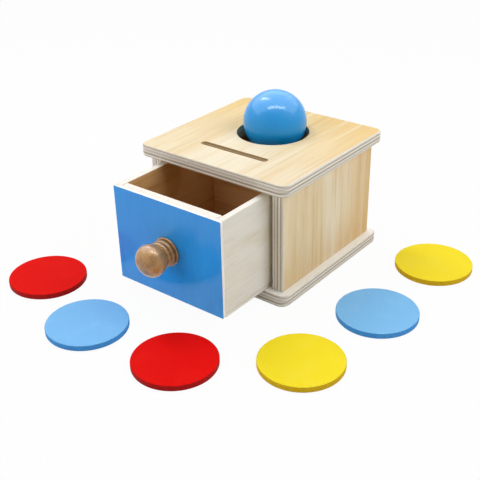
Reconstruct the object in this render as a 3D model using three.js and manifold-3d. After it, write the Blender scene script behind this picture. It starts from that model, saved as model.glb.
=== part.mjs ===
// Coin slot box: a plywood box whose lid has a slot for wooden discs and a round hole for a ball, with a
// drawer on a turned knob that catches what is posted, the ball and six discs.
// Millimetres, +Z up. The drawer's face looks along -Y, and the origin is the middle of the base's underside.
import * as THREE from "three";
import { mergeVertices } from "three/addons/utils/BufferGeometryUtils.js";
import Module from "manifold-3d";

const wasm = await Module();
wasm.setup();

// Box
const plateWidth = 140; // lid and base, along X
const plateDepth = 136.2; // lid and base, along Y
const plateCorner = 7.5; // radius of the plates' corners
const plateEase = 1.4; // rounding of the plates' edges
const boxHeight = 100; // underside of the base to the top of the lid
const lidThickness = 9.4;
const baseThickness = 9.4;
const sideThickness = 9.6;
const rearThickness = 9.5;
const sideOverhang = 6.2; // lid and base beyond the walls
const frontOverhang = 6.7;
const rearOverhang = 7.1;
const boardEase = 0.6; // rounding of the edges of the walls and of the drawer's boards
const boardCorner = 1; // radius of their corners

// Discs and ball, and the openings that let them through
const coinDiameter = 61;
const coinThickness = 4.5;
const coinEase = 0.7;
const slotLengthClearance = 2.4;
const slotWidthClearance = 1.3;
const slotToFront = 31.3; // lid's front edge to the middle of the slot
const ballDiameter = 50.8;
const holeClearance = 7; // hole's diameter beyond the ball's
const holeToRear = 54.6; // lid's rear edge to the centre of the hole
const ballRise = 7.1; // ball's centre above the lid
const ballGap = 0.3; // ball to the rim that it leans on, and to the drawer that passes below
const ballLean = THREE.MathUtils.degToRad(104); // way that the ball leans, from +X
const cutMargin = 1; // how far a cutting tool goes beyond what it cuts

// Where the discs lie, along X and Y: the left ones and the near red one from the middle of the open
// drawer's face, the near yellow one from that face's level at the box's right edge, and the right ones from
// that edge's middle
const redLeftAt = [-106.994, -27.999];
const blueLeftAt = [-32.025, -55.327];
const redNearAt = [48.678, -49.776];
const yellowNearAt = [48.129, 0.427];
const blueRightAt = [58.926, -33.001];
const yellowRightAt = [59.475, 55.022];

// Drawer
const drawerOpen = 54.4; // how far it stands out of the box
const drawerSideGap = 3.2;
const drawerTopGap = 3; // drawer's sides to the lid
const drawerRunGap = 0.3; // drawer's bottom to the base
const drawerRearGap = 0.7; // drawer's back to the rear panel when it is shut
const drawerFrontThickness = 6.4; // board behind the painted facing
const drawerSideThickness = 5.3;
const drawerBackThickness = 5.3;
const sheetThickness = 2.8; // facing and bottom
const sheetEase = 0.3; // rounding of their edges

// Knob and its screw
const footRadius = 11.4;
const footThickness = 1.9;
const neckRadius = 8.7; // in the grooves beside the beads
const beadCount = 2;
const beadHeight = 1.7; // beads beyond the neck
const beadGroove = 0.4; // flat between two beads
const headRadius = 12.4;
const headCentre = 17.4; // widest place of the head, in front of the drawer's face
const headFrontLength = 9.4;
const headBackLength = 10.4;
const screwRadius = 1.8;
const screwFit = 0.3; // round the screw, in the front board and in the knob
const screwDepth = 11; // screw in the knob
const screwEndGap = 0.6; // knob's bore beyond the screw
const screwHeadRadius = 3.8;
const screwHeadHeight = 2.2;

// Dowels
const dowelRadius = 2.5;
const dowelFit = 0.2; // glue round a dowel
const dowelEndGap = 0.6; // glue at each end
const dowelInPlate = 5.5; // depth in a board's face
const dowelInEdge = 12; // depth in a board's edge
const dowelChamfer = 0.6;
const dowelSetback = 24; // dowel to the wall's nearest end

// Facets
const arcSteps = 6; // a quarter circle
const easeSteps = 2;
const holeSteps = 60;
const rodSides = 14;
const turnedSides = 36;
const ballRings = 26;
const weld = 1e-4; // corners closer than this are one

// Places worked out from the sizes
const plateRight = plateWidth / 2;
const plateRear = plateDepth / 2;
const wallOuter = plateRight - sideOverhang;
const wallInner = wallOuter - sideThickness;
const wallFront = frontOverhang - plateRear;
const wallRear = plateRear - rearOverhang;
const wallDepth = wallRear - wallFront;
const wallMiddle = (wallFront + wallRear) / 2;
const lidUnderside = boxHeight - lidThickness;
const wallHeight = lidUnderside - baseThickness;

const ballRadius = ballDiameter / 2;
const holeRadius = (ballDiameter + holeClearance) / 2;
const holeY = plateRear - holeToRear;
const ballShift = holeRadius - Math.sqrt((ballRadius + ballGap) ** 2 - ballRise ** 2);
const ballZ = boxHeight + ballRise;

const coinRadius = coinDiameter / 2;
const slotLength = coinDiameter + slotLengthClearance;
const slotWidth = coinThickness + slotWidthClearance;
const slotY = slotToFront - plateRear;

const drawerHalf = wallInner - drawerSideGap;
const drawerLength = wallDepth - rearThickness - drawerRearGap;
const drawerUnderside = baseThickness + drawerRunGap;
const drawerFloor = drawerUnderside + sheetThickness;
const drawerTop = lidUnderside - drawerTopGap;
const drawerBackTop = ballZ - ballRadius - ballGap;
const drawerRear = wallFront + drawerLength;
const facingBack = wallFront + sheetThickness;
const faceDepth = sheetThickness + drawerFrontThickness;
const drawerInner = drawerHalf - drawerSideThickness;
const drawerMiddle = (drawerUnderside + drawerTop) / 2;
const openFace = wallFront - drawerOpen;

// Materials
const finish = (color, roughness, metalness = 0) =>
  new THREE.MeshStandardMaterial({ color, roughness, metalness });
const birch = finish("#e6cf9f", 0.5);
const paleWood = finish("#e2dac8", 0.6);
const turnedWood = finish("#a67a4a", 0.4);
const dowelWood = finish("#d8bd8b", 0.7);
const steel = finish("#b9bcc0", 0.35, 1);
const bluePaint = finish("#3f8fd6", 0.35);
const ballPaint = finish("#3f97dd", 0.15);
const redPaint = finish("#e01712", 0.4);
const skyPaint = finish("#74b4ea", 0.4);
const yellowPaint = finish("#f8d820", 0.4);

// Booleans
function solidOf(geometry) {
  const bare = new THREE.BufferGeometry().copy(geometry);
  bare.deleteAttribute("normal");
  bare.deleteAttribute("uv");
  const merged = mergeVertices(bare, weld);
  const vertProperties = merged.getAttribute("position").array;
  const triVerts = new Uint32Array(merged.index.array);
  return new wasm.Manifold(new wasm.Mesh({ numProp: 3, vertProperties, triVerts }));
}

function geometryOf(solid) {
  const { vertProperties, triVerts } = solid.getMesh();
  const geometry = new THREE.BufferGeometry();
  geometry.setAttribute("position", new THREE.BufferAttribute(vertProperties, 3));
  geometry.setIndex(new THREE.BufferAttribute(triVerts, 1));
  geometry.computeVertexNormals();
  return geometry;
}

// Cuts each tool, given in the same group's frame as the mesh, out of the mesh.
function cut(mesh, tools) {
  const solid = tools.reduce((left, tool) => {
    const local = tool.clone().translate(...mesh.position.clone().negate().toArray());
    return left.subtract(solidOf(local));
  }, solidOf(mesh.geometry));
  mesh.geometry = geometryOf(solid);
}

// Outlines
const quarter = Math.PI / 2;
const point = (x, y) => new THREE.Vector2(x, y);

function arc(x, y, radius, from, to, steps = arcSteps) {
  return Array.from({ length: steps + 1 }, (_, i) => {
    const angle = from + ((to - from) * i) / steps;
    return point(x + radius * Math.cos(angle), y + radius * Math.sin(angle));
  });
}

function roundedRectangle(width, depth, radius, steps) {
  const x = width / 2 - radius;
  const y = depth / 2 - radius;
  return [
    ...arc(x, -y, radius, -quarter, 0, steps),
    ...arc(x, y, radius, 0, quarter, steps),
    ...arc(-x, y, radius, quarter, 2 * quarter, steps),
    ...arc(-x, -y, radius, 2 * quarter, 3 * quarter, steps),
  ];
}

function slotOutline(length, width, y) {
  const end = (length - width) / 2;
  return [
    ...arc(end, y, width / 2, -quarter, quarter, 2 * arcSteps),
    ...arc(-end, y, width / 2, quarter, 3 * quarter, 2 * arcSteps),
  ];
}

// A board of an outline in XY, its thickness along Z from 0, with its edges rounded.
function slab(outline, thickness, ease) {
  const geometry = new THREE.ExtrudeGeometry(new THREE.Shape(outline), {
    depth: thickness - 2 * ease,
    bevelThickness: ease,
    bevelSize: ease,
    bevelOffset: -ease,
    bevelSegments: easeSteps,
  });
  return geometry.translate(0, 0, ease);
}

// A tool with sharp edges that cuts an outline in XY through the lid.
function lidCutter(outline) {
  const depth = lidThickness + 2 * cutMargin;
  const geometry = new THREE.ExtrudeGeometry(new THREE.Shape(outline), { depth, bevelEnabled: false });
  return geometry.translate(0, 0, lidUnderside - cutMargin);
}

// A standing board: its width along X, its thickness along Y and its height along Z, all from its middle.
function uprightBoard(width, thickness, height, ease = boardEase) {
  const outline = roundedRectangle(width, height, boardCorner, easeSteps);
  const board = slab(outline, thickness, ease).translate(0, 0, -thickness / 2);
  return board.rotateX(quarter);
}

// Round pieces
// Turns a profile of [radius, distance] points that starts and ends on the axis, its axis along Y.
function turned(profile, sides = turnedSides) {
  return new THREE.LatheGeometry(profile, sides);
}

function rod(radius, length, sides = rodSides) {
  return new THREE.CylinderGeometry(radius, radius, length, sides);
}

function addMesh(group, name, geometry, material, x = 0, y = 0, z = 0) {
  const mesh = new THREE.Mesh(geometry, material);
  mesh.name = name;
  mesh.position.set(x, y, z);
  group.add(mesh);
  return mesh;
}

const sides = [
  ["left", -1],
  ["right", 1],
];

// Dowels: each has the point where it crosses its joint and the way into the board whose edge it enters.
function dowelSeats() {
  const seats = [];
  for (const [side, sign] of sides) {
    const wallX = sign * (wallOuter - sideThickness / 2);
    const ends = { front: wallFront + dowelSetback, rear: wallRear - dowelSetback };
    for (const [end, y] of Object.entries(ends)) {
      const onLid = new THREE.Vector3(wallX, y, lidUnderside);
      const onBase = new THREE.Vector3(wallX, y, baseThickness);
      seats.push({ name: `dowel_lid_${side}_${end}`, at: onLid, into: new THREE.Vector3(0, 0, -1) });
      seats.push({ name: `dowel_base_${side}_${end}`, at: onBase, into: new THREE.Vector3(0, 0, 1) });
    }
    const levels = { lower: baseThickness + dowelSetback, upper: lidUnderside - dowelSetback };
    for (const [level, z] of Object.entries(levels)) {
      const onRear = new THREE.Vector3(sign * wallInner, wallRear - rearThickness / 2, z);
      seats.push({ name: `dowel_rear_${side}_${level}`, at: onRear, into: new THREE.Vector3(-sign, 0, 0) });
    }
  }
  return seats;
}

// Lays a piece made along Y over a dowel's seat.
function layInSeat(geometry, seat) {
  const turn = new THREE.Quaternion().setFromUnitVectors(new THREE.Vector3(0, 1, 0), seat.into);
  const middle = seat.into.clone().multiplyScalar((dowelInEdge - dowelInPlate) / 2).add(seat.at);
  return geometry.applyQuaternion(turn).translate(...middle.toArray());
}

function dowelProfile() {
  const end = (dowelInEdge + dowelInPlate) / 2;
  const tip = dowelRadius - dowelChamfer;
  const shoulder = end - dowelChamfer;
  return [
    point(0, -end),
    point(tip, -end),
    point(dowelRadius, -shoulder),
    point(dowelRadius, shoulder),
    point(tip, end),
    point(0, end),
  ];
}

function buildBox() {
  const box = new THREE.Group();
  const plate = roundedRectangle(plateWidth, plateDepth, plateCorner);
  const slot = slotOutline(slotLength, slotWidth, slotY);
  const hole = arc(0, holeY, holeRadius, 0, 2 * Math.PI, holeSteps).slice(0, -1);
  const plateOf = (thickness) => slab(plate, thickness, plateEase);
  const wallZ = baseThickness + wallHeight / 2;
  const rear = uprightBoard(2 * wallInner, rearThickness, wallHeight);

  const lid = addMesh(box, "lid", plateOf(lidThickness), birch, 0, 0, lidUnderside);
  cut(lid, [lidCutter(slot), lidCutter(hole)]);
  const boards = [
    lid,
    addMesh(box, "base", plateOf(baseThickness), birch),
    addMesh(box, "rear_panel", rear, birch, 0, wallRear - rearThickness / 2, wallZ),
  ];
  for (const [side, sign] of sides) {
    const wall = uprightBoard(wallDepth, sideThickness, wallHeight).rotateZ(quarter);
    const x = sign * (wallOuter - sideThickness / 2);
    boards.push(addMesh(box, `${side}_side`, wall, birch, x, wallMiddle, wallZ));
  }

  const seats = dowelSeats();
  const boreLength = dowelInEdge + dowelInPlate + 2 * dowelEndGap;
  const bores = seats.map((seat) => layInSeat(rod(dowelRadius + dowelFit, boreLength), seat));
  for (const board of boards) cut(board, bores);
  for (const seat of seats) {
    const dowel = layInSeat(turned(dowelProfile(), rodSides), seat);
    addMesh(box, seat.name, dowel, dowelWood);
  }
  return box;
}

// Knob's profile from the bottom of the screw's bore, round the foot, beads and head, to its front.
function knobProfile() {
  const bore = screwRadius + screwFit;
  const boreEnd = screwDepth + screwEndGap;
  const footEdge = footThickness / 2;
  const neckEnd = headCentre - headBackLength * Math.sqrt(1 - (neckRadius / headRadius) ** 2);
  const beadPitch = (neckEnd - footThickness) / beadCount;
  const beadHalf = (beadPitch - beadGroove) / 2;
  const beads = Array.from({ length: beadCount }, (_, i) => {
    const middle = footThickness + (i + 0.5) * beadPitch;
    return arc(0, 0, 1, -quarter, quarter).map(({ x, y }) =>
      point(neckRadius + beadHeight * x, middle + beadHalf * y),
    );
  });
  const headStart = -Math.acos(neckRadius / headRadius);
  const head = arc(0, 0, 1, headStart, quarter, 3 * arcSteps).map(({ x, y }) =>
    point(headRadius * x, headCentre + y * (y < 0 ? headBackLength : headFrontLength)),
  );
  head.at(-1).setX(0);
  return [
    point(0, boreEnd),
    point(bore, boreEnd),
    point(bore, 0),
    ...arc(footRadius - footEdge, footEdge, footEdge, -quarter, quarter),
    ...beads.flat(),
    ...head,
  ];
}

// Screw's profile from its tip in the knob back to its domed head inside the drawer.
function screwProfile() {
  const dome = arc(0, 0, 1, 0, quarter).map(({ x, y }) =>
    point(screwHeadRadius * x, faceDepth + screwHeadHeight * y),
  );
  dome.at(-1).setX(0);
  return [
    point(0, -screwDepth),
    point(screwRadius, screwRadius - screwDepth),
    point(screwRadius, faceDepth),
    ...dome,
  ];
}

// The painted facing covers the whole front. Behind it the front and back boards stand between the sides, and
// the bottom sheet goes under all four.
function buildDrawer() {
  const drawer = new THREE.Group();
  const wholeHeight = drawerTop - drawerUnderside;
  const boxHeightInside = drawerTop - drawerFloor;
  const boxLength = drawerRear - facingBack;
  const boxMiddle = (facingBack + drawerRear) / 2;
  const boardMiddle = (drawerFloor + drawerTop) / 2;

  const facing = uprightBoard(2 * drawerHalf, sheetThickness, wholeHeight, sheetEase);
  const facingY = wallFront + sheetThickness / 2;
  const front = uprightBoard(2 * drawerInner, drawerFrontThickness, boxHeightInside);
  const frontY = facingBack + drawerFrontThickness / 2;
  const bored = [
    addMesh(drawer, "drawer_facing", facing, bluePaint, 0, facingY, drawerMiddle),
    addMesh(drawer, "drawer_front", front, paleWood, 0, frontY, boardMiddle),
  ];
  const screwHole = rod(screwRadius + screwFit, 2 * faceDepth + cutMargin);
  screwHole.translate(0, wallFront, drawerMiddle);
  for (const board of bored) cut(board, [screwHole]);

  for (const [side, sign] of sides) {
    const wall = uprightBoard(boxLength, drawerSideThickness, boxHeightInside).rotateZ(quarter);
    const x = sign * (drawerHalf - drawerSideThickness / 2);
    addMesh(drawer, `drawer_${side}_side`, wall, paleWood, x, boxMiddle, boardMiddle);
  }
  const back = uprightBoard(2 * drawerInner, drawerBackThickness, drawerBackTop - drawerFloor);
  const backZ = (drawerFloor + drawerBackTop) / 2;
  addMesh(drawer, "drawer_back", back, paleWood, 0, drawerRear - drawerBackThickness / 2, backZ);
  const sheet = roundedRectangle(2 * drawerHalf, boxLength, boardCorner, easeSteps);
  const bottom = slab(sheet, sheetThickness, sheetEase);
  addMesh(drawer, "drawer_bottom", bottom, paleWood, 0, boxMiddle, drawerUnderside);

  const knob = addMesh(drawer, "knob", turned(knobProfile()), turnedWood, 0, wallFront, drawerMiddle);
  knob.rotation.x = Math.PI;
  addMesh(drawer, "knob_screw", turned(screwProfile(), rodSides), steel, 0, wallFront, drawerMiddle);
  drawer.position.y = -drawerOpen;
  return drawer;
}

function coinProfile() {
  const rim = coinRadius - coinEase;
  return [
    point(0, 0),
    ...arc(rim, coinEase, coinEase, -quarter, 0, easeSteps),
    ...arc(rim, coinThickness - coinEase, coinEase, 0, quarter, easeSteps),
    point(0, coinThickness),
  ];
}

const coins = [
  { name: "coin_red_left", paint: redPaint, from: [0, openFace], at: redLeftAt },
  { name: "coin_blue_left", paint: skyPaint, from: [0, openFace], at: blueLeftAt },
  { name: "coin_red_near", paint: redPaint, from: [0, openFace], at: redNearAt },
  { name: "coin_yellow_near", paint: yellowPaint, from: [plateRight, openFace], at: yellowNearAt },
  { name: "coin_blue_right", paint: skyPaint, from: [plateRight, 0], at: blueRightAt },
  { name: "coin_yellow_right", paint: yellowPaint, from: [plateRight, 0], at: yellowRightAt },
];

function buildSet() {
  const set = new THREE.Group();
  const ball = new THREE.SphereGeometry(ballRadius, turnedSides, ballRings).rotateX(quarter);
  const ballX = ballShift * Math.cos(ballLean);
  addMesh(set, "ball", ball, ballPaint, ballX, holeY + ballShift * Math.sin(ballLean), ballZ);
  for (const { name, paint, from, at } of coins) {
    const disc = turned(coinProfile()).rotateX(quarter);
    const [x, y] = from.map((start, i) => start + at[i]);
    addMesh(set, name, disc, paint, x, y);
  }
  return set;
}

const coinSlotBox = new THREE.Group();
coinSlotBox.add(buildBox(), buildDrawer(), buildSet());

export default coinSlotBox;
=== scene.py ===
"""Looks of a wooden coin slot box: plywood, a drawer on a turned knob, a lacquered ball and painted discs.

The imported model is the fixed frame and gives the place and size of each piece. Lengths in the classes are
millimetres, and meshes are metres. +Z is up, and the drawer opens along -Y.
"""

import logging
from collections.abc import Callable, Sequence
from dataclasses import dataclass
from enum import Enum

import bpy
import numpy as np
from mathutils import Matrix, Vector
from mathutils.geometry import tessellate_polygon

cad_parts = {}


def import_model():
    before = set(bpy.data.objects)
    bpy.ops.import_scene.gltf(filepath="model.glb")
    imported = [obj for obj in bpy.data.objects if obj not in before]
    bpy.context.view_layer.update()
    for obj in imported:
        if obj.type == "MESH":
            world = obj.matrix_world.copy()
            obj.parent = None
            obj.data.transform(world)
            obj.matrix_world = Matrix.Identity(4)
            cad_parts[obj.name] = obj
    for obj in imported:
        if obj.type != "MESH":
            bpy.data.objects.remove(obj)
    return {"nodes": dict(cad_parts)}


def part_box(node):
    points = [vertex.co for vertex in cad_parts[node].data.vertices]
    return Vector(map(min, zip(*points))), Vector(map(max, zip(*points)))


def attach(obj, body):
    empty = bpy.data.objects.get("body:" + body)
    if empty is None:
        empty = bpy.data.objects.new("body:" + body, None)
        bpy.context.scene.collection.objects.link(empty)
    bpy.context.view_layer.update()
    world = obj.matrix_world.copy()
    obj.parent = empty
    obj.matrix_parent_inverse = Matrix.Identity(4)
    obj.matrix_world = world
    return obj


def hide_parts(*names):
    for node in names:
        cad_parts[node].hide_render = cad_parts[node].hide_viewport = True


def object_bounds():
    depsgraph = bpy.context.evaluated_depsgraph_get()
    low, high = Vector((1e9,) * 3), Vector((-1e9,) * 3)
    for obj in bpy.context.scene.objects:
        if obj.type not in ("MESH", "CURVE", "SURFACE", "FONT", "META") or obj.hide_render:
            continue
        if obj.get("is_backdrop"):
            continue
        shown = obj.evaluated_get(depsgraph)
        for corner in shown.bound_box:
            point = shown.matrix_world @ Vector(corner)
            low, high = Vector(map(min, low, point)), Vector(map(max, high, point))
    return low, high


Array = np.ndarray
Colour = tuple[float, float, float, float]
Inputs = dict[str | int, object]
Pick = Callable[[Array, Array], Array]
Material = bpy.types.Material
Node = bpy.types.Node
Socket = bpy.types.NodeSocket
Tree = bpy.types.NodeTree

MM = 0.001  # metres in a millimetre
QUARTER = np.pi / 2

EASE_STEPS = 6  # facets of an eased edge
CORNER_STEPS = 10  # facets of a board's corner
TURNED_STEPS = 128  # facets round a turned piece or a circle
ARC_STEPS = 16  # facets of an arc in a turned profile
FLAT_SHARE = 0.98  # least share of the normal across a board on its two faces

NOISE_DETAIL = 2.0  # finer layers in plain noise
STREAK_DETAIL = 3.0  # finer layers in the noise of a streak
WAVE_RADIANS = 20  # angle that a wave texture of scale 1 goes through in a unit
WAVE_FACTOR = 1  # a wave texture's number among its outputs
MIX_COLOURS = (6, 7)  # a mix node's two colours among its inputs
MIX_NUMBERS = (2, 3)  # its two numbers among its inputs
MIXED_COLOUR = 2  # its mixed colour among its outputs
SMOOTH = {"interpolation_type": "SMOOTHSTEP"}

log = logging.getLogger("coin_slot_box")


class Axis(Enum):
    """An axis of the frame, by its place in a vector."""

    X = 0
    Y = 1
    Z = 2


class Lie(Enum):
    """How a shape's own axes lie in the frame: its outline is in u and v, and its thickness runs along w."""

    FLAT = ((1, 0, 0), (0, 1, 0), (0, 0, 1))
    FACING_RIGHT = ((0, 1, 0), (0, 0, 1), (1, 0, 0))
    FACING_FRONT = ((1, 0, 0), (0, 0, 1), (0, -1, 0))
    FACING_REAR = ((-1, 0, 0), (0, 0, 1), (0, 1, 0))

    def turn(self, vectors: Array) -> Array:
        """Turns u, v, w vectors into x, y, z vectors."""
        return vectors @ np.array(self.value, float)

    def axes(self) -> Array:
        """The places in an x, y, z vector that u, v and w run along."""
        return np.abs(self.value).argmax(1)

    def across(self) -> Axis:
        """The axis of the frame that the thickness runs along."""
        return Axis(int(self.axes()[2]))


@dataclass
class Outline:
    """A closed line in u and v, the unit vectors out of the material along it, and its edges' rounding."""

    points: Array
    normals: Array
    ease: float


@dataclass
class Surface:
    """A closed mesh in millimetres: points, their unit normals, and the quads and triangles between them."""

    points: Array
    normals: Array
    quads: Array
    triangles: Array

    def placed(self, lie: Lie, origin: Array) -> "Surface":
        """Turns the surface to lie in the frame, with its own origin at the given point."""
        return Surface(lie.turn(self.points) + origin, lie.turn(self.normals), self.quads, self.triangles)


def rectangle(low: Array, high: Array) -> Array:
    """The corners of a rectangle, counterclockwise."""
    return np.array([low, (high[0], low[1]), high, (low[0], high[1])], float)


def rounded(corners: Array, radius: float, ease: float) -> Outline:
    """Rounds each corner of a polygon with an arc that touches both of its edges.

    The arc's normal turns evenly from one edge's normal to the next one's. Its middle lies the radius away
    from both edges, on the material's side at an outer corner and on the other side at an inner one.

    Args:
        corners: Corners (k, 2), counterclockwise round material and clockwise round a hole.
        radius: Radius of the arcs.
        ease: Rounding of the board's edges along the outline.

    Returns:
        The rounded outline.
    """
    ahead = np.roll(corners, -1, 0) - corners
    ahead /= np.linalg.norm(ahead, axis=1, keepdims=True)
    behind = np.roll(ahead, 1, 0)
    cross = behind[:, 0] * ahead[:, 1] - behind[:, 1] * ahead[:, 0]
    turn = np.arctan2(cross, (behind * ahead).sum(1))
    first = np.arctan2(-behind[:, 0], behind[:, 1])
    angle = first[:, None] + turn[:, None] * np.linspace(0, 1, CORNER_STEPS + 1)
    normals = np.stack([np.cos(angle), np.sin(angle)], -1)
    side = np.sign(turn)[:, None]
    reach = radius * np.tan(np.abs(turn) / 2)
    middle = corners - behind * reach[:, None] - side * radius * normals[:, 0]
    points = middle[:, None] + side[:, None] * radius * normals
    return Outline(points.reshape(-1, 2), normals.reshape(-1, 2), ease)


def spokes(way: int = 1) -> Array:
    """Unit vectors (cos a, sin a) all the way round, counterclockwise, or clockwise where the way is -1."""
    angle = way * np.linspace(0, 2 * np.pi, TURNED_STEPS, endpoint=False)
    return np.stack([np.cos(angle), np.sin(angle)], -1)


def circle(centre: Array, radius: float, ease: float, hole: bool = False) -> Outline:
    """A circle round material, or clockwise round a hole with its normals towards its middle.

    Args:
        centre: Its middle.
        radius: Its radius.
        ease: Rounding of the board's edges along it.
        hole: Whether it goes round a hole.

    Returns:
        The outline.
    """
    way = -1 if hole else 1
    around = spokes(way)
    return Outline(centre + radius * around, way * around, ease)


def ring_quads(index: Array) -> Array:
    """The quads between the rows of a grid of point numbers whose columns go all the way round."""
    following = np.roll(index, -1, 1)
    return np.stack([index[:-1], following[:-1], following[1:], index[1:]], -1).reshape(-1, 4)


def eased_board(outlines: list[Outline], thickness: float) -> Surface:
    """A board whose edge profile is carried round each outline, with flat faces filled between the rims.

    Going up, the profile is a quarter circle, a straight and a quarter circle. At angle t of a quarter circle
    it stands in from the outline by ease * (1 - sin t) and off the face by ease * (1 - cos t).

    Args:
        outlines: The outer outline, then those of the holes.
        thickness: Thickness along w, from w = 0.

    Returns:
        The board.
    """
    angle = np.linspace(0, QUARTER, EASE_STEPS + 1)
    out = np.sin(np.concatenate([angle, angle[::-1]]))
    up = np.concatenate([-np.cos(angle), np.cos(angle[::-1])])
    points, normals, quads, rims = [], [], [], []
    count = 0
    for outline in outlines:
        flat = outline.points - (outline.ease * (1 - out))[:, None, None] * outline.normals
        height = np.where(up < 0, outline.ease * (1 + up), thickness - outline.ease * (1 - up))
        size = flat.shape[:2]
        points.append(np.dstack([flat, np.broadcast_to(height[:, None], size)]).reshape(-1, 3))
        leaning = out[:, None, None] * outline.normals
        normals.append(np.dstack([leaning, np.broadcast_to(up[:, None], size)]).reshape(-1, 3))
        index = count + np.arange(flat[..., 0].size).reshape(size)
        quads.append(ring_quads(index))
        rims.append(index[[0, -1]])
        count += index.size
    points = np.concatenate(points)
    under, over = np.concatenate(rims, 1)
    fill = np.array(tessellate_polygon([points[rim[1]].tolist() for rim in rims]))
    first, second, third = (points[over[fill[:, k]], :2] for k in range(3))
    one, other = second - first, third - first
    area = one[:, 0] * other[:, 1] - one[:, 1] * other[:, 0]
    fill = np.where(area[:, None] < 0, fill[:, ::-1], fill)
    triangles = np.concatenate([over[fill], under[fill[:, ::-1]]])
    return Surface(points, np.concatenate(normals), np.concatenate(quads), triangles)


def turned(profile: Array) -> Surface:
    """A profile carried round the w axis.

    A point (r, d) of the profile at angle a goes to (r cos a, r sin a, d), and the normal is the profile's
    slope turned a quarter outwards.

    Args:
        profile: Points (radius, distance), from the axis at the low end to the axis at the high end.

    Returns:
        The turned piece.
    """
    slope = np.gradient(profile, axis=0)
    slope /= np.linalg.norm(slope, axis=1, keepdims=True)
    rings, tilt = profile[1:-1], slope[1:-1]
    size = (len(rings), TURNED_STEPS)
    points = np.dstack([rings[:, None, :1] * spokes(), np.broadcast_to(rings[:, 1:], size)])
    normals = np.dstack([tilt[:, None, 1:] * spokes(), np.broadcast_to(-tilt[:, :1], size)])
    index = np.arange(size[0] * size[1]).reshape(size)
    low, high = index.size, index.size + 1
    following = np.roll(index, -1, 1)
    near = np.stack([np.full(TURNED_STEPS, low), following[0], index[0]], -1)
    far = np.stack([np.full(TURNED_STEPS, high), index[-1], following[-1]], -1)
    poles = np.array([(0, 0, profile[0, 1]), (0, 0, profile[-1, 1])])
    return Surface(
        np.concatenate([points.reshape(-1, 3), poles]),
        np.concatenate([normals.reshape(-1, 3), [(0, 0, -1), (0, 0, 1)]]),
        ring_quads(index),
        np.concatenate([near, far]),
    )


def arc(middle: tuple[float, float], radii: tuple[float, float], first: float, last: float) -> Array:
    """Points of an ellipse's arc, (m + r cos t, n + s sin t) from one angle to another."""
    angle = np.linspace(first, last, ARC_STEPS + 1)
    return np.stack([middle[0] + radii[0] * np.cos(angle), middle[1] + radii[1] * np.sin(angle)], -1)


def box_mm(node: str) -> tuple[Array, Array]:
    """The lowest and highest corner of a CAD node at rest, in millimetres."""
    low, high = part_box(node)
    return np.array(low) / MM, np.array(high) / MM


def board(node: str, lie: Lie, corner: float, ease: float, holes: Sequence[Outline] = ()) -> Surface:
    """An eased board that fills a CAD node's box.

    Args:
        node: The CAD node.
        lie: How the board lies.
        corner: Radius of its corners.
        ease: Rounding of its edges.
        holes: Outlines cut through it.

    Returns:
        The board in its place.
    """
    low, high = box_mm(node)
    u, v, w = lie.axes()
    outer = rounded(rectangle(low[[u, v]], high[[u, v]]), corner, ease)
    start = np.zeros(3)
    start[w] = low[w] if lie.value[2][w] > 0 else high[w]
    return eased_board([outer, *holes], high[w] - low[w]).placed(lie, start)


def linear(colour: str) -> Colour:
    """Turns an sRGB hex colour into linear RGBA, by the curve of the sRGB standard.

    Args:
        colour: Red, green and blue as hex digits.

    Returns:
        The linear colour, opaque.
    """
    srgb = np.frombuffer(bytes.fromhex(colour.lstrip("#")), np.uint8) / 255
    rgb = np.where(srgb <= 0.04045, srgb / 12.92, ((srgb + 0.055) / 1.055) ** 2.4)
    return (*rgb.tolist(), 1.0)


def fill_inputs(tree: Tree, node: Node, inputs: Inputs) -> None:
    """Fills a node's inputs.

    Args:
        tree: The node tree.
        node: The node.
        inputs: Values by input name or number. A socket is linked, and anything else is set.
    """
    for key, value in inputs.items():
        if isinstance(value, Socket):
            tree.links.new(value, node.inputs[key])
        else:
            node.inputs[key].default_value = value


def add_node(tree: Tree, kind: str, inputs: Inputs | None = None, **settings: object) -> Node:
    """Adds a node, sets its properties and fills its inputs.

    Args:
        tree: The node tree.
        kind: The node's type name.
        inputs: Sockets or values by input name or number.
        settings: Properties of the node.

    Returns:
        The node.
    """
    node = tree.nodes.new(kind)
    for name, value in settings.items():
        setattr(node, name, value)
    fill_inputs(tree, node, inputs or {})
    return node


def maths(tree: Tree, operation: str, *values: object, clamp: bool = False) -> Socket:
    """The result of an operation on numbers, each a socket or a value."""
    inputs = dict(enumerate(values))
    return add_node(tree, "ShaderNodeMath", inputs, operation=operation, use_clamp=clamp).outputs[0]


def remap(
    tree: Tree,
    value: Socket,
    source: tuple[float, float] = (0.0, 1.0),
    target: tuple[float, float] = (0.0, 1.0),
    **settings: object,
) -> Socket:
    """Carries a number from one range over to another.

    Args:
        tree: The node tree.
        value: The number.
        source: The range that it comes from.
        target: The range that it goes to.
        settings: Properties of the node, where they differ from a straight line that is clamped.

    Returns:
        The number in its new range.
    """
    inputs = dict(enumerate([value, *source, *target]))
    return add_node(tree, "ShaderNodeMapRange", inputs, **settings).outputs[0]


def about(middle: float, spread: float) -> tuple[float, float]:
    """The range that reaches as far to both sides of a middle."""
    return middle - spread, middle + spread


def mix(tree: Tree, share: Socket, colour: Socket | Colour, over: Colour) -> Socket:
    """A colour with a share of another one over it."""
    inputs = {0: share, MIX_COLOURS[0]: colour, MIX_COLOURS[1]: over}
    return add_node(tree, "ShaderNodeMix", inputs, data_type="RGBA").outputs[MIXED_COLOUR]


def noise(tree: Tree, place: Socket, scale: float, detail: float = NOISE_DETAIL) -> Socket:
    """Noise between 0 and 1 over a place."""
    inputs = {"Vector": place, "Scale": scale, "Detail": detail}
    return add_node(tree, "ShaderNodeTexNoise", inputs).outputs[0]


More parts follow.
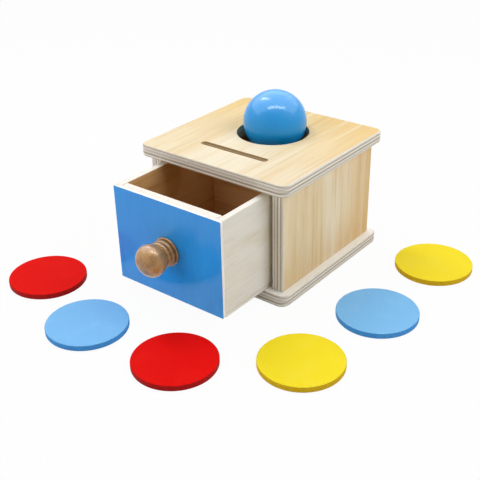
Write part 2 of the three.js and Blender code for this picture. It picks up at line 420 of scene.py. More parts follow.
def bump(tree: Tree, height: Socket, relief: float) -> Socket:
    """The normal of a surface that a height between 0 and 1 raises by up to a relief in millimetres."""
    return add_node(tree, "ShaderNodeBump", {"Height": height, "Distance": relief * MM}).outputs[0]


def new_material(name: str) -> tuple[Material, Tree, Node]:
    """Makes a material.

    Args:
        name: Its name.

    Returns:
        The material, its node tree and its Principled shader.
    """
    material = bpy.data.materials.new(name)
    material.use_nodes = True
    return material, material.node_tree, material.node_tree.nodes["Principled BSDF"]


@dataclass(frozen=True)
class Fade:
    """A slow change of colour along one axis of the frame."""

    axis: Axis
    start: float
    end: float
    colour: str
    strength: float

    def share(self, tree: Tree, place: Socket) -> Socket:
        """How much of the colour shows at a place: a smooth step from the start to the end."""
        along = add_node(tree, "ShaderNodeSeparateXYZ", {0: place}).outputs[self.axis.value]
        return remap(tree, along, (self.start * MM, self.end * MM), (0.0, self.strength), **SMOOTH)


@dataclass(frozen=True)
class Rings:
    """Growth rings: bands about a tree's middle, some way off the piece, bent by noise."""

    spacing: float
    offset: tuple[float, float, float]
    axis: Axis
    wander: float
    colour: str
    strength: float
    wander_scale: float = 0.6

    def share(self, tree: Tree, place: Socket) -> Socket:
        """How much of the colour shows at a place: a wave of the distance from the axis.

        Args:
            tree: The material's node tree.
            place: The point on the piece.

        Returns:
            The share.
        """
        inputs = {"Vector": place, "Location": self.offset, "Scale": np.full(3, 1 / MM)}
        spot = add_node(tree, "ShaderNodeMapping", inputs).outputs[0]
        inputs = {
            "Vector": spot,
            "Scale": 2 * np.pi / (WAVE_RADIANS * self.spacing),
            "Distortion": self.wander,
            "Detail": NOISE_DETAIL,
            "Detail Scale": self.wander_scale,
        }
        settings = {"wave_type": "RINGS", "rings_direction": self.axis.name}
        wave = add_node(tree, "ShaderNodeTexWave", inputs, **settings).outputs[WAVE_FACTOR]
        return maths(tree, "MULTIPLY", wave, self.strength)


@dataclass(frozen=True)
class Streak:
    """One layer of a pattern: noise drawn out along the grain that lets a colour through where it is high."""

    across: float
    along: float
    colour: str
    low: float
    high: float
    strength: float

    def fibres(self, tree: Tree, place: Socket, grain: Axis) -> Socket:
        """The noise at a place.

        Args:
            tree: The material's node tree.
            place: The point on the piece.
            grain: The way that the grain runs.

        Returns:
            The noise.
        """
        scale = np.full(3, 1 / (self.across * MM))
        scale[grain.value] = 1 / (self.along * MM)
        spot = add_node(tree, "ShaderNodeMapping", {"Vector": place, "Scale": scale}).outputs[0]
        return noise(tree, spot, 1.0, STREAK_DETAIL)

    def share(self, tree: Tree, fibres: Socket) -> Socket:
        """How much of the colour shows: a smooth step between two heights of the noise."""
        return remap(tree, fibres, (self.low, self.high), (0.0, self.strength), **SMOOTH)


@dataclass(frozen=True)
class WoodFinish:
    """Wood or paint over wood: fades or rings, then streaks, over a ground colour, with bump and gloss.

    The finest streak, which comes last, also roughens the surface and raises the bump.
    """

    name: str
    colour: str
    grain: Axis
    streaks: tuple[Streak, ...]
    under: tuple[Fade | Rings, ...] = ()
    roughness: float = 0.5
    roughness_spread: float = 0.1
    specular: float = 0.5
    coat: float = 0.0
    coat_roughness: float = 0.1
    relief: float = 0.03

    def build(self) -> Material:
        """Builds the material, each layer's colour over the ones before it.

        Returns:
            The material.
        """
        material, tree, shader = new_material(self.name)
        place = add_node(tree, "ShaderNodeTexCoord").outputs["Object"]
        layers = [(layer.share(tree, place), layer.colour) for layer in self.under]
        fibres = [streak.fibres(tree, place, self.grain) for streak in self.streaks]
        for streak, height in zip(self.streaks, fibres):
            layers.append((streak.share(tree, height), streak.colour))
        colour = linear(self.colour)
        for share, over in layers:
            colour = mix(tree, share, colour, linear(over))
        inputs = {
            "Base Color": colour,
            "Roughness": remap(tree, fibres[-1], target=about(self.roughness, self.roughness_spread)),
            "Normal": bump(tree, fibres[-1], self.relief),
            "Specular IOR Level": self.specular,
            "Coat Weight": self.coat,
            "Coat Roughness": self.coat_roughness,
        }
        fill_inputs(tree, shader, inputs)
        return material


@dataclass(frozen=True)
class PlyEdge:
    """Sawn and sanded edge of birch plywood: pale plies along it, and darker ones cut across the grain."""

    name: str
    layers: Axis
    grain: Axis
    low: float
    thickness: float
    plies: int = 7
    long_grain: str = "#F7F2E7"
    end_grain: str = "#B0A390"
    glue: str = "#958878"
    glue_share: float = 0.1
    glue_strength: float = 0.6
    wobble: float = 0.12
    wobble_length: float = 18.0
    tone_spread: float = 0.3
    speck: float = 0.5
    speck_range: tuple[float, float] = (0.3, 0.7)
    speck_least: float = 0.55
    relief: float = 0.05
    roughness: float = 0.6

    def build(self) -> Material:
        """Builds the material: a tone for each ply, specks on end grain, and a line of glue between plies.

        Returns:
            The material.
        """
        material, tree, shader = new_material(self.name)
        coordinates = add_node(tree, "ShaderNodeTexCoord").outputs
        place = coordinates["Object"]
        level = self.level(tree, place)
        ply = maths(tree, "FLOOR", level)
        cut = self.cut(tree, ply, coordinates["Normal"])
        specks = noise(tree, place, 1 / (self.speck * MM))
        grit = remap(tree, specks, self.speck_range, (self.speck_least, 1.0))
        chance = add_node(tree, "ShaderNodeTexWhiteNoise", {"W": ply}, noise_dimensions="1D").outputs[0]
        tone = remap(tree, chance, target=about(0.0, self.tone_spread))
        share = maths(tree, "MULTIPLY_ADD", cut, grit, tone, clamp=True)
        wood = mix(tree, share, linear(self.long_grain), linear(self.end_grain))
        part = maths(tree, "FRACT", level)
        line = remap(tree, part, (self.glue_share, 0.0), (0.0, self.glue_strength), **SMOOTH)
        inputs = {
            "Base Color": mix(tree, line, wood, linear(self.glue)),
            "Roughness": self.roughness,
            "Normal": bump(tree, specks, self.relief),
        }
        fill_inputs(tree, shader, inputs)
        return material

    def level(self, tree: Tree, place: Socket) -> Socket:
        """The depth in the board, counted in plies and bent a little by noise.

        Args:
            tree: The material's node tree.
            place: The point on the piece.

        Returns:
            The depth.
        """
        along = add_node(tree, "ShaderNodeSeparateXYZ", {0: place}).outputs[self.layers.value]
        ends = (self.low * MM, (self.low + self.thickness) * MM)
        depth = remap(tree, along, ends, (0.0, float(self.plies)), clamp=False)
        wander = noise(tree, place, 1 / (self.wobble_length * MM))
        return maths(tree, "ADD", depth, remap(tree, wander, target=about(0.0, self.wobble)))

    def cut(self, tree: Tree, ply: Socket, normal: Socket) -> Socket:
        """How far a ply is cut across its grain, which is turned by a quarter in every other ply.

        Args:
            tree: The material's node tree.
            ply: The ply's number.
            normal: The edge's normal.

        Returns:
            1 for end grain and 0 for grain along the edge.
        """
        odd = maths(tree, "FLOORED_MODULO", ply, 2.0)
        even = maths(tree, "SUBTRACT", 1.0, odd)
        parts = add_node(tree, "ShaderNodeSeparateXYZ", {0: normal}).outputs
        along = maths(tree, "ABSOLUTE", parts[self.grain.value])
        inputs = {0: along, MIX_NUMBERS[0]: odd, MIX_NUMBERS[1]: even}
        return add_node(tree, "ShaderNodeMix", inputs).outputs[0]


@dataclass(frozen=True)
class ZincSteel:
    """Zinc-plated steel of a wood screw: a cool metal with faint marks."""

    name: str = "zinc_plated_steel"
    colour: str = "#B9BCC0"
    roughness: float = 0.32
    roughness_spread: float = 0.1
    mark: float = 0.3

    def build(self) -> Material:
        """Builds the material.

        Returns:
            The material.
        """
        material, tree, shader = new_material(self.name)
        place = add_node(tree, "ShaderNodeTexCoord").outputs["Object"]
        marks = noise(tree, place, 1 / (self.mark * MM))
        inputs = {
            "Base Color": linear(self.colour),
            "Metallic": 1.0,
            "Roughness": remap(tree, marks, target=about(self.roughness, self.roughness_spread)),
        }
        fill_inputs(tree, shader, inputs)
        return material


def ply_edge(name: str, node: str, layers: Axis, grain: Axis, **tones: str) -> PlyEdge:
    """The edge of the plywood board that a CAD node is.

    Args:
        name: The material's name.
        node: The CAD node.
        layers: The axis across the plies.
        grain: The way that the grain runs on the board's faces.
        tones: Colours where they differ from the usual ones.

    Returns:
        The finish.
    """
    low, high = (corner[layers.value] for corner in box_mm(node))
    return PlyEdge(name, layers, grain, low, high - low, **tones)


def veneer(name: str, grain: Axis, ground: str, fades: tuple[Fade, ...] = ()) -> WoodFinish:
    """Rotary-cut birch veneer, sanded and clear lacquered: soft bands, fine fibres and short flecks.

    Args:
        name: The material's name.
        grain: The way that the grain runs.
        ground: Its palest colour.
        fades: Slow changes of colour over the board.

    Returns:
        The finish.
    """
    streaks = (
        Streak(across=24, along=160, colour="#E2BE78", low=0.44, high=0.7, strength=0.5),
        Streak(across=5, along=190, colour="#F6EBD6", low=0.5, high=0.7, strength=0.45),
        Streak(across=4, along=140, colour="#CFA157", low=0.5, high=0.72, strength=0.28),
        Streak(across=0.6, along=6, colour="#A87C42", low=0.66, high=0.78, strength=0.25),
        Streak(across=1.3, along=55, colour="#C59A58", low=0.5, high=0.78, strength=0.32),
    )
    return WoodFinish(name, ground, grain, streaks, fades, roughness=0.5, specular=0.1)


def inside_wood_with_painted_shade(name: str, grain: Axis, ground: str) -> WoodFinish:
    """Brown wood inside the drawer, partly its own colour and partly painted shade, left bare: soft darker
    bands and fine fibres.

    Args:
        name: The material's name.
        grain: The way that the grain runs.
        ground: Its palest colour.

    Returns:
        The finish.
    """
    streaks = (
        Streak(across=16, along=90, colour="#B78546", low=0.45, high=0.7, strength=0.5),
        Streak(across=1.3, along=55, colour="#A67638", low=0.5, high=0.78, strength=0.4),
    )
    return WoodFinish(name, ground, grain, streaks, roughness=0.6, specular=0.2)


def pale_wood(name: str, grain: Axis, ground: str = "#EFEAE0") -> WoodFinish:
    """Pale wood, sanded and left bare: an even ground with faint streaks and warm smudges.

    Args:
        name: The material's name.
        grain: The way that the grain runs.
        ground: Its palest colour.

    Returns:
        The finish.
    """
    streaks = (
        Streak(across=16, along=60, colour="#E4D9C5", low=0.5, high=0.72, strength=0.6),
        Streak(across=7, along=30, colour="#DDCEB8", low=0.58, high=0.76, strength=0.4),
        Streak(across=0.9, along=24, colour="#CFBFA8", low=0.5, high=0.8, strength=0.3),
    )
    return WoodFinish(name, ground, grain, streaks, roughness=0.62)


def paint(name: str, colour: str, deep: str, light: str, grain: Axis = Axis.Z, **gloss: float) -> WoodFinish:
    """Paint on sanded wood: even colour, with a hint of the fibres under it.

    Args:
        name: The material's name.
        colour: The paint.
        deep: The paint where it lies thick.
        light: The paint where it lies thin.
        grain: The way that the wood's grain runs.
        gloss: Roughness, specular, coat and relief where they differ from a satin paint's.

    Returns:
        The finish.
    """
    streaks = (
        Streak(across=20, along=30, colour=light, low=0.48, high=0.72, strength=0.5),
        Streak(across=1.4, along=40, colour=deep, low=0.5, high=0.76, strength=0.4),
        Streak(across=0.5, along=0.9, colour=deep, low=0.55, high=0.75, strength=0.18),
    )
    satin = {"roughness": 0.55, "relief": 0.012, "specular": 0.05}
    return WoodFinish(name, colour, grain, streaks, **{**satin, **gloss})


# Turned and oiled wood: rings cut by the ball head, short dark flecks and a soft shine.
KNOB_WOOD = WoodFinish(
    "turned_oiled_beech",
    "#B68038",
    Axis.Y,
    (
        Streak(across=6, along=16, colour="#8E5F2C", low=0.45, high=0.66, strength=0.6),
        Streak(across=0.6, along=5, colour="#5A3A16", low=0.58, high=0.74, strength=0.55),
        Streak(across=1.1, along=18, colour="#8A602C", low=0.48, high=0.74, strength=0.45),
    ),
    (Rings(spacing=1.7, offset=(-60, 0, 13), axis=Axis.Y, wander=3.0, colour="#D2AC6C", strength=0.4),),
    roughness=0.42,
    specular=0.35,
    coat=1.0,
    coat_roughness=0.3,
)
BALL_LACQUER = paint(
    "gloss_blue_lacquer",
    "#069CEC",
    "#028EE0",
    "#14A6F2",
    roughness=0.5,
    specular=0.2,
    coat=0.65,
    coat_roughness=0.16,
    relief=0.004,
)
DRAWER_PAINT = paint(
    "blue_paint_on_board",
    "#1E9EF6",
    "#128FEA",
    "#30AAFC",
    roughness=0.45,
    coat=0.9,
    coat_roughness=0.16,
    relief=0.03,
)
DISC_PAINTS = {
    "red": paint("red_disc_paint", "#EF0F09", "#DD0B06", "#F61811", specular=0.02),
    "blue": paint("sky_blue_disc_paint", "#84C6FA", "#74B9F0", "#92D0FE"),
    "yellow": paint("yellow_disc_paint", "#FFE826", "#F8DC18", "#FFEC40"),
}
# The rims are painted a deeper colour than the tops, which is partly painted shade on the rims.
RIM_PAINTS_WITH_SHADE = {
    "red": paint("red_disc_rim_painted_shade", "#B01A18", "#9C1210", "#BC2320"),
    "blue": paint("sky_blue_disc_rim_painted_shade", "#4A98DC", "#3E8BD0", "#5AA5E4"),
    "yellow": paint("yellow_disc_rim_painted_shade", "#DDB41F", "#D0A614", "#E4BE30"),
}
# The plies in the lid's openings are warmer than those of the outer edges.
OPENING_TONES = {"long_grain": "#EBD6AC", "end_grain": "#B4966A", "glue": "#8A6E48"}
DOWEL_WOOD = pale_wood("dowel_beech", Axis.Z, "#E0C79C")
SCREW_STEEL = ZincSteel()


def facing(axis: Axis, least: float, sign: int = 0) -> Pick:
    """Picks faces by their normal.

    Args:
        axis: The axis that a picked face looks along.
        least: The smallest share of the normal along the axis.
        sign: 1 or -1 for one way along it, 0 for both.

    Returns:
        A function of the faces' middles and normals that gives 1 for a picked face and 0 for another.
    """

    def pick(_: Array, normals: Array) -> Array:
        """1 where the normal's share is large enough."""
        part = normals[:, axis.value]
        return (np.abs(part) if sign == 0 else sign * part) > least

    return pick


def add_piece(
    node: str,
    surface: Surface,
    body: str,
    finishes: list[Material],
    pick: Pick | None = None,
) -> None:
    """Makes a surface the piece that stands for a CAD node.

    Args:
        node: The CAD node, whose name the piece carries on.
        surface: The surface, in the frame.
        body: The CAD body that the piece moves with.
        finishes: The materials.
        pick: The material's number for each face, from the faces' middles and normals.
    """
    mesh = bpy.data.meshes.new(f"{node}_finished")
    mesh.from_pydata((surface.points * MM).tolist(), [], surface.quads.tolist() + surface.triangles.tolist())
    mesh.polygons.foreach_set("use_smooth", np.ones(len(mesh.polygons), bool))
    for finish in finishes:
        mesh.materials.append(finish)
    if pick:
        middles, normals = np.empty((2, len(mesh.polygons), 3), np.float32)
        mesh.polygons.foreach_get("center", middles.ravel())
        mesh.polygons.foreach_get("normal", normals.ravel())
        mesh.polygons.foreach_set("material_index", pick(middles / MM, normals).astype(np.int32))
    mesh.update()
    mesh.normals_split_custom_set_from_vertices(surface.normals.tolist())
    piece = bpy.data.objects.new(mesh.name, mesh)
    bpy.context.scene.collection.objects.link(piece)
    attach(piece, body)
    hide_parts(node)
    log.info("%s: %d faces on %s", piece.name, len(mesh.polygons), body)


@dataclass
class Carcass:
    """The box: lid and base with round corners, two sides and a rear panel."""

    plate_corner: float = 7.5
    plate_ease: float = 1.4
    opening_ease: float = 0.35
    edge_margin: float = 12.0  # the openings lie further in than this, and the outer edge doesn't
    slot_length: float = 63.4
    slot_width: float = 5.8
    slot_y: float = -36.8
    slot_end_share: float = 0.499  # radius over width, just under a half so that each end keeps a straight
    hole_y: float = 13.5
    hole_radius: float = 28.9
    board_corner: float = 1.0
    board_ease: float = 0.6
    body: str = "box"
    slot: str = "birch_plywood"

    def build(self) -> None:
        """Builds and dresses every board."""
        # Yellower towards the rear and both sides, paler at the front middle: partly the veneer's own tone,
        # partly painted shade.
        lid_tone_and_painted_shade = (
            Fade(Axis.Y, start=-50, end=80, colour="#EAC26C", strength=0.75),
            Fade(Axis.X, start=-5, end=75, colour="#EAC274", strength=0.3),
            Fade(Axis.X, start=-15, end=-75, colour="#EACB8A", strength=0.5),
        )
        # Darker towards the bottom, which is painted shade where the wall meets the base, and yellower
        # towards the rear, partly painted shade.
        wall_painted_shade_and_tone = (
            Fade(Axis.Z, start=50, end=5, colour="#D3A04A", strength=0.4),
            Fade(Axis.Y, start=0, end=65, colour="#E0B262", strength=0.65),
        )
        self.add_plate("lid", veneer("lid_birch_veneer", Axis.Y, "#F6EBD0", lid_tone_and_painted_shade), self.openings())
        # The base's veneer is near white: partly its own pale tone, partly painted light on the ledge that
        # lies in the lid's shade.
        self.add_plate("base", pale_wood("base_veneer_with_painted_light", Axis.Y, "#FCFAF4"))
        for side in ("left_side", "right_side"):
            self.add_wall(side, Lie.FACING_RIGHT, "#F8E9CC", wall_painted_shade_and_tone)
        self.add_wall("rear_panel", Lie.FACING_FRONT, "#EBD2A4")

    def openings(self) -> list[Outline]:
        """The lid's coin slot and ball hole.

        Returns:
            Their outlines, clockwise.
        """
        reach = np.array([self.slot_length, self.slot_width]) / 2
        middle = np.array([0, self.slot_y])
        corners = rectangle(middle - reach, middle + reach)[::-1]
        slot = rounded(corners, self.slot_end_share * self.slot_width, self.opening_ease)
        return [slot, circle(np.array([0, self.hole_y]), self.hole_radius, self.opening_ease, hole=True)]

    def add_plate(self, node: str, face: WoodFinish, holes: Sequence[Outline] = ()) -> None:
        """Adds the lid or the base.

        Args:
            node: The CAD node.
            face: The finish of its two faces.
            holes: Outlines cut through it.
        """
        finishes = [ply_edge(f"{node}_ply_edge", node, Axis.Z, Axis.Y).build(), face.build()]
        if holes:
            warm = ply_edge(f"{node}_opening_edge", node, Axis.Z, Axis.Y, **OPENING_TONES)
            finishes.append(warm.build())
        limit = box_mm(node)[1][:2] - self.edge_margin

        def pick(middles: Array, normals: Array) -> Array:
            """0 on the outer edge, 1 on the two faces and 2 in the openings."""
            inner = (np.abs(middles[:, :2]) < limit).all(1)
            return np.where(np.abs(normals[:, 2]) > FLAT_SHARE, 1, np.where(inner, 2, 0))

        surface = board(node, Lie.FLAT, self.plate_corner, self.plate_ease, holes)
        add_piece(node, surface, self.body, finishes, pick)

    def add_wall(self, node: str, lie: Lie, ground: str, fades: tuple[Fade, ...] = ()) -> None:
        """Adds a side wall or the rear panel, its veneer's grain upright and its plies showing at the edges.

        Args:
            node: The CAD node.
            lie: How it lies.
            ground: The palest colour of its two faces.
            fades: Slow changes of colour over them.
        """
        finishes = [
            ply_edge(f"{node}_ply_edge", node, lie.across(), Axis.Z).build(),
            veneer(f"{node}_birch_veneer", Axis.Z, ground, fades).build(),
        ]
        surface = board(node, lie, self.board_corner, self.board_ease)
        add_piece(node, surface, self.body, finishes, facing(lie.across(), FLAT_SHARE))


@dataclass
class Drawer:
    """The drawer: a thin facing painted on its face, boards for front, sides and back, and a bottom sheet."""

    ease: float = 0.6
    sheet_ease: float = 0.3
    corner: float = 1.0
    paint_share: float = 0.5  # least share of the normal towards the front where there is paint
    inside_share: float = 0.9  # least share of the normal towards the inside where the wood is brown, partly painted shade
    body: str = "drawer"
    slot: str = "pale_wood"

    def build(self) -> None:
        """Builds and dresses every board: the painted facing, then those that are brown on the inside, partly
        painted shade.
        """
        # The facing's bare edges are near white: partly the pale ply, partly a painted highlight along the
        # rounded edge.
        painted = [pale_wood("facing_edge_with_painted_highlight", Axis.Z, "#FFFEFB").build(), DRAWER_PAINT.build()]
        sheet = board("drawer_facing", Lie.FACING_FRONT, self.corner, self.sheet_ease)
        forwards = facing(Axis.Y, self.paint_share, -1)
        add_piece("drawer_facing", sheet, self.body, painted, forwards)
        outside = pale_wood("bare_limewood", Axis.Y).build()
        # Inside faces are brown, partly painted shade inside the drawer.
        ends = [outside, inside_wood_with_painted_shade("drawer_end_inside_painted_shade", Axis.X, "#E8C496").build()]
        sides = [outside, inside_wood_with_painted_shade("drawer_side_inside_painted_shade", Axis.Y, "#D8AE76").build()]
        self.add_board("drawer_front", Lie.FACING_FRONT, 1, ends, self.ease)
        self.add_board("drawer_back", Lie.FACING_FRONT, -1, ends, self.ease)
        self.add_board("drawer_left_side", Lie.FACING_RIGHT, 1, sides, self.ease)
        self.add_board("drawer_right_side", Lie.FACING_RIGHT, -1, sides, self.ease)
        self.add_board("drawer_bottom", Lie.FLAT, 1, sides, self.sheet_ease)

    def add_board(self, node: str, lie: Lie, inwards: int, finishes: list[Material], ease: float) -> None:
        """Adds a board.

        Args:
            node: The CAD node.
            lie: How it lies.
            inwards: 1 or -1, the way along the axis across it that looks into the drawer.
            finishes: The materials outside and inside.
            ease: Rounding of its edges.
        """
        inside = facing(lie.across(), self.inside_share, inwards)
        add_piece(node, board(node, lie, self.corner, ease), self.body, finishes, inside)


@dataclass
class Knob:
    """The turned knob with its foot, two beads and ball head, and the screw that holds it."""

    foot_radius: float = 11.4
    foot_thickness: float = 1.9
    neck_radius: float = 8.7
    bead_count: int = 2
    bead_height: float = 1.7
    bead_groove: float = 0.4
    head_radius: float = 12.4
    head_centre: float = 17.4
    head_front: float = 9.4
    head_back: float = 10.4
    screw_radius: float = 3.8
    screw_height: float = 2.2
    screw_rings: int = 80
    recess_arm: float = 2.0
    recess_half_width: float = 0.45
    recess_depth: float = 1.2
    recess_slope: float = 0.25
    body: str = "drawer"

    def build(self) -> None:
        """Builds and dresses the knob and its screw's head."""
        low, high = box_mm("knob")
        middle = (low + high) / 2
        seat = np.array([middle[0], high[1], middle[2]])
        knob = turned(self.profile()).placed(Lie.FACING_FRONT, seat)
        add_piece("knob", knob, self.body, [KNOB_WOOD.build()])
        inner = np.array([middle[0], box_mm("drawer_front")[1][1], middle[2]])
        head = self.screw_head().placed(Lie.FACING_REAR, inner)
        add_piece("knob_screw", head, self.body, [SCREW_STEEL.build()])

    def profile(self) -> Array:
        """The knob's outline: a rounded foot, half an ellipse for each bead, and a flattened ball.

        The ball begins where it is as wide as the neck, and the beads share the neck up to there.

        Returns:
            Points (radius, distance) from the middle of the foot to the front.
        """
        edge = self.foot_thickness / 2
        narrow = self.neck_radius / self.head_radius
        neck_end = self.head_centre - self.head_back * np.sqrt(1 - narrow**2)
        pitch = (neck_end - self.foot_thickness) / self.bead_count
        reach = (self.bead_height, (pitch - self.bead_groove) / 2)
        places = self.foot_thickness + (np.arange(self.bead_count) + 0.5) * pitch
        beads = [arc((self.neck_radius, place), reach, -QUARTER, QUARTER) for place in places]
        behind = arc((0, self.head_centre), (self.head_radius, self.head_back), -np.arccos(narrow), 0)
        before = arc((0, self.head_centre), (self.head_radius, self.head_front), 0, QUARTER)
        foot = arc((self.foot_radius - edge, edge), (edge, edge), -QUARTER, QUARTER)
        tip = [(0, self.head_centre + self.head_front)]
        return np.concatenate([[(0, 0)], foot, *beads, behind[1:], before[1:-1], tip])

    def screw_head(self) -> Surface:
        """A domed head with a cross recess: the dome sinks by the depth near the line of either arm.

        Returns:
            The head, seated at w = 0.
        """
        base = np.stack([np.linspace(0, self.screw_radius, ARC_STEPS), np.zeros(ARC_STEPS)], -1)
        dome = arc((0, 0), (self.screw_radius, self.screw_height), 0, QUARTER)
        share = np.linspace(0, 1, len(dome))
        finer = np.linspace(0, 1, self.screw_rings)
        fine = np.stack([np.interp(finer, share, column) for column in dome.T], -1)
        surface = turned(np.concatenate([base, fine[1:]]))
        reach = np.abs(surface.points[:, :2])
        cross = self.within(reach.min(1), self.recess_half_width) * self.within(reach.max(1), self.recess_arm)
        height = surface.points[:, 2]
        surface.points[:, 2] = np.where(height > 0, height - self.recess_depth * cross, height)
        return surface

    def within(self, reach: Array, limit: float) -> Array:
        """1 where the reach is within the limit, falling to 0 over the recess's slope beyond it."""
        return np.clip((limit + self.recess_slope - reach) / self.recess_slope, 0, 1)


@dataclass
class Ball:
    """The lacquered ball that sits in the hole."""

    body: str = "ball"
    steps: int = 64

    def build(self) -> None:
        """Builds and dresses the ball: a half circle (r sin t, -r cos t) turned about its upright axis."""
        low, high = box_mm("ball")
        radius = (high[2] - low[2]) / 2
        angle = np.linspace(0, np.pi, self.steps + 1)
        profile = radius * np.stack([np.sin(angle), -np.cos(angle)], -1)
        ball = turned(profile).placed(Lie.FLAT, (low + high) / 2)
        add_piece("ball", ball, self.body, [BALL_LACQUER.build()])


@dataclass
class Discs:
    """The painted discs that lie round the box."""

    ease: float = 0.7
    top_share: float = 0.7  # least share of the normal up or down where the top's paint is
    names: tuple[str, ...] = (
        "red_left",
        "blue_left",
        "red_near",
        "yellow_near",
        "blue_right",
        "yellow_right",
    )

    def build(self) -> None:
        """Builds and dresses each disc."""
        # Each disc's rim takes the deeper paint, partly painted shade, and its top takes its own paint.
        finishes = {colour: [RIM_PAINTS_WITH_SHADE[colour].build(), top.build()] for colour, top in DISC_PAINTS.items()}
        for name in self.names:
            node = f"coin_{name}"
            colour = name.split("_")[0]
            low, high = box_mm(node)
            outline = circle((low + high)[:2] / 2, (high[0] - low[0]) / 2, self.ease)
            disc = eased_board([outline], high[2] - low[2]).placed(Lie.FLAT, np.array([0, 0, low[2]]))
            top = facing(Axis.Z, self.top_share)
            add_piece(node, disc, f"disc_{name}", finishes[colour], top)


@dataclass
class Dowels:
    """The dowels in the box's joints, which stay as the CAD model has them."""

    nodes: dict[str, bpy.types.Object]

    def build(self) -> None:
        """Dresses each dowel."""
        finish = DOWEL_WOOD.build()
        for name, piece in self.nodes.items():
            piece.data.materials.clear()
            piece.data.materials.append(finish)
            log.info("%s: dressed", name)


class Reach(Enum):
    """What a lamp lights: matt reflection, gloss or both."""

    MATT = (True, False)
    GLOSSY = (False, True)
    ALL = (True, True)


@dataclass(frozen=True)
class Softbox:
    """A rectangular lamp that looks at a point of the scene."""

    name: str
    place: tuple[float, float, float]
    aim: tuple[float, float, float]
    width: float
    height: float
    radiance: float
    reach: Reach = Reach.ALL

    def build(self) -> None:
        """Adds the lamp, its power worked out from its radiance and its area."""
        lamp = bpy.data.lights.new(self.name, "AREA")
        lamp.shape = "RECTANGLE"
        lamp.size = self.width * MM
        lamp.size_y = self.height * MM
        lamp.energy = self.radiance * np.pi * lamp.size * lamp.size_y
        holder = bpy.data.objects.new(self.name, lamp)
        holder.location = Vector(self.place) * MM
        holder.rotation_euler = (Vector(self.aim) - Vector(self.place)).to_track_quat("-Z", "Y").to_euler()
        holder.visible_diffuse, holder.visible_glossy = self.reach.value
        bpy.context.scene.collection.objects.link(holder)


@dataclass(frozen=True)
class ViewPoint:
    """The photograph's camera: place, turn, downward tilt, roll, and focal length in pixels."""

    place: tuple[float, float, float] = (375.94, -498.59, 348.50)
    yaw: float = -38.841
    pitch: float = 28.668
    roll: float = 1.282
    focal: float = 844.419
    frame: float = 480.0
    sensor: float = 36.0

    def build(self) -> None:
        """Adds the camera: its axes are right, up and back, turned about the line of sight by the roll."""
        yaw, pitch, roll = np.radians([self.yaw, self.pitch, self.roll])
        ahead = np.array([np.sin(yaw) * np.cos(pitch), np.cos(yaw) * np.cos(pitch), -np.sin(pitch)])
        right = np.array([np.cos(yaw), -np.sin(yaw), 0])
        down = np.cross(ahead, right)
        rolled_right = np.cos(roll) * right + np.sin(roll) * down
        rolled_down = np.cos(roll) * down - np.sin(roll) * right
        lens = bpy.data.cameras.new("photo_view")
        lens.sensor_width = self.sensor
        lens.lens = self.focal * self.sensor / self.frame
        holder = bpy.data.objects.new("photo_view", lens)
        pose = np.eye(4)
        pose[:3] = np.stack([rolled_right, -rolled_down, -ahead, np.array(self.place) * MM], -1)
        holder.matrix_world = Matrix(pose.tolist())
        bpy.context.scene.collection.objects.link(holder)
        bpy.context.scene.camera = holder


def seen(tree: Tree) -> Socket:
    """1 for camera, glossy and transmission rays and 0 for the rest.

    Args:
        tree: The node tree.

    Returns:
        The number.
    """
    path = add_node(tree, "ShaderNodeLightPath").outputs
    either = maths(tree, "MAXIMUM", path["Is Camera Ray"], path["Is Glossy Ray"])
    return maths(tree, "MAXIMUM", either, path["Is Transmission Ray"])


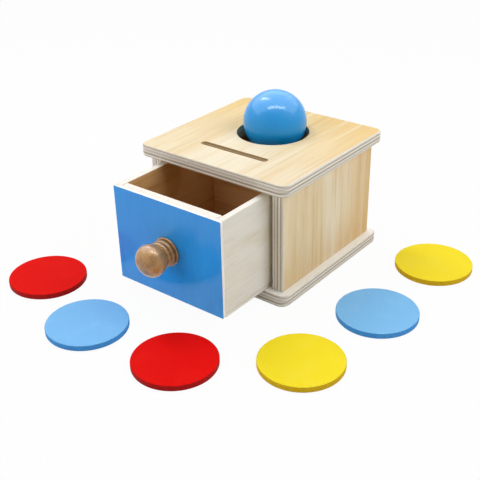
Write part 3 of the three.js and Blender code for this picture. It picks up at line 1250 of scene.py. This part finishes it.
@dataclass
class Studio:
    """A white floor and room, soft lamps and the camera."""

    floor_size: float = 40000.0
    floor_drop: float = 0.1
    floor_colour: str = "#F2F2F2"
    white_share: float = 0.95
    ambient: float = 0.15
    view: ViewPoint = ViewPoint()
    lamps: tuple[Softbox, ...] = (
        Softbox(
            "overhead_box", place=(-120, 290, 1107), aim=(-101, 266, 0),
            width=1600, height=1200, radiance=1.02, reach=Reach.MATT,
        ),
        Softbox(
            "overhead_sheen", place=(-434, 680, 1080), aim=(-415, 656, 0),
            width=4400, height=2600, radiance=2.3, reach=Reach.GLOSSY,
        ),
        Softbox(
            "overhead_front_tube", place=(260, -182, 1060), aim=(241, -158, 0),
            width=1000, height=110, radiance=17.0, reach=Reach.GLOSSY,
        ),
        Softbox(
            "left_lamp", place=(-660, 150, 1040), aim=(0, 0, 100),
            width=150, height=520, radiance=12.0,
        ),
        Softbox(
            "front_left_box", place=(-700, -1150, 640), aim=(0, -60, 50),
            width=1400, height=1000, radiance=1.72, reach=Reach.MATT,
        ),
        Softbox(
            "right_box", place=(1150, 320, 900), aim=(0, 0, 50),
            width=1200, height=900, radiance=2.7, reach=Reach.MATT,
        ),
    )

    def build(self) -> None:
        """Builds the room."""
        bpy.context.scene.view_settings.view_transform = "Standard"
        self.add_floor()
        self.add_world()
        for lamp in self.lamps:
            lamp.build()
        self.view.build()

    def add_floor(self) -> None:
        """Adds the floor, just under the object: white to the eye but for a share of the object's shadow."""
        reach = np.full(2, self.floor_size / 2)
        square = rectangle(-reach, reach) * MM
        mesh = bpy.data.meshes.new("floor")
        points = np.column_stack([square, np.full(len(square), -self.floor_drop * MM)])
        mesh.from_pydata(points.tolist(), [], [range(len(square))])
        material, tree, shader = new_material("white_sweep")
        tree.nodes.remove(shader)
        matte = add_node(tree, "ShaderNodeBsdfDiffuse", {"Color": linear(self.floor_colour)}).outputs[0]
        glow = add_node(tree, "ShaderNodeEmission", {"Strength": 1.0}).outputs[0]
        share = maths(tree, "MULTIPLY", seen(tree), self.white_share)
        mixed = add_node(tree, "ShaderNodeMixShader", {0: share, 1: matte, 2: glow}).outputs[0]
        fill_inputs(tree, tree.nodes["Material Output"], {"Surface": mixed})
        mesh.materials.append(material)
        floor = bpy.data.objects.new("floor", mesh)
        bpy.context.scene.collection.objects.link(floor)
        floor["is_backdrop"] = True

    def add_world(self) -> None:
        """Fills the room with even light, and shows it as white."""
        world = bpy.data.worlds.new("white_room")
        world.use_nodes = True
        tree = world.node_tree
        strength = remap(tree, seen(tree), target=(self.ambient, 1.0))
        fill_inputs(tree, tree.nodes["Background"], {"Color": linear("#FFFFFF"), "Strength": strength})
        bpy.context.scene.world = world


def corners() -> list[list[float]]:
    """The lowest and highest corner of what shows of the object, in metres."""
    return [[float(value) for value in corner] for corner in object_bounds()]


def main() -> None:
    """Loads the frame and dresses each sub-assembly."""
    logging.basicConfig(level=logging.INFO, format="%(name)s: %(message)s")
    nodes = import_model()["nodes"]
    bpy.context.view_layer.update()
    dowels = {name: piece for name, piece in nodes.items() if name.startswith("dowel_")}
    for part in (Carcass(), Drawer(), Knob(), Ball(), Discs(), Dowels(dowels), Studio()):
        log.info("building %s", type(part).__name__)
        part.build()


if __name__ == "__main__":
    main()
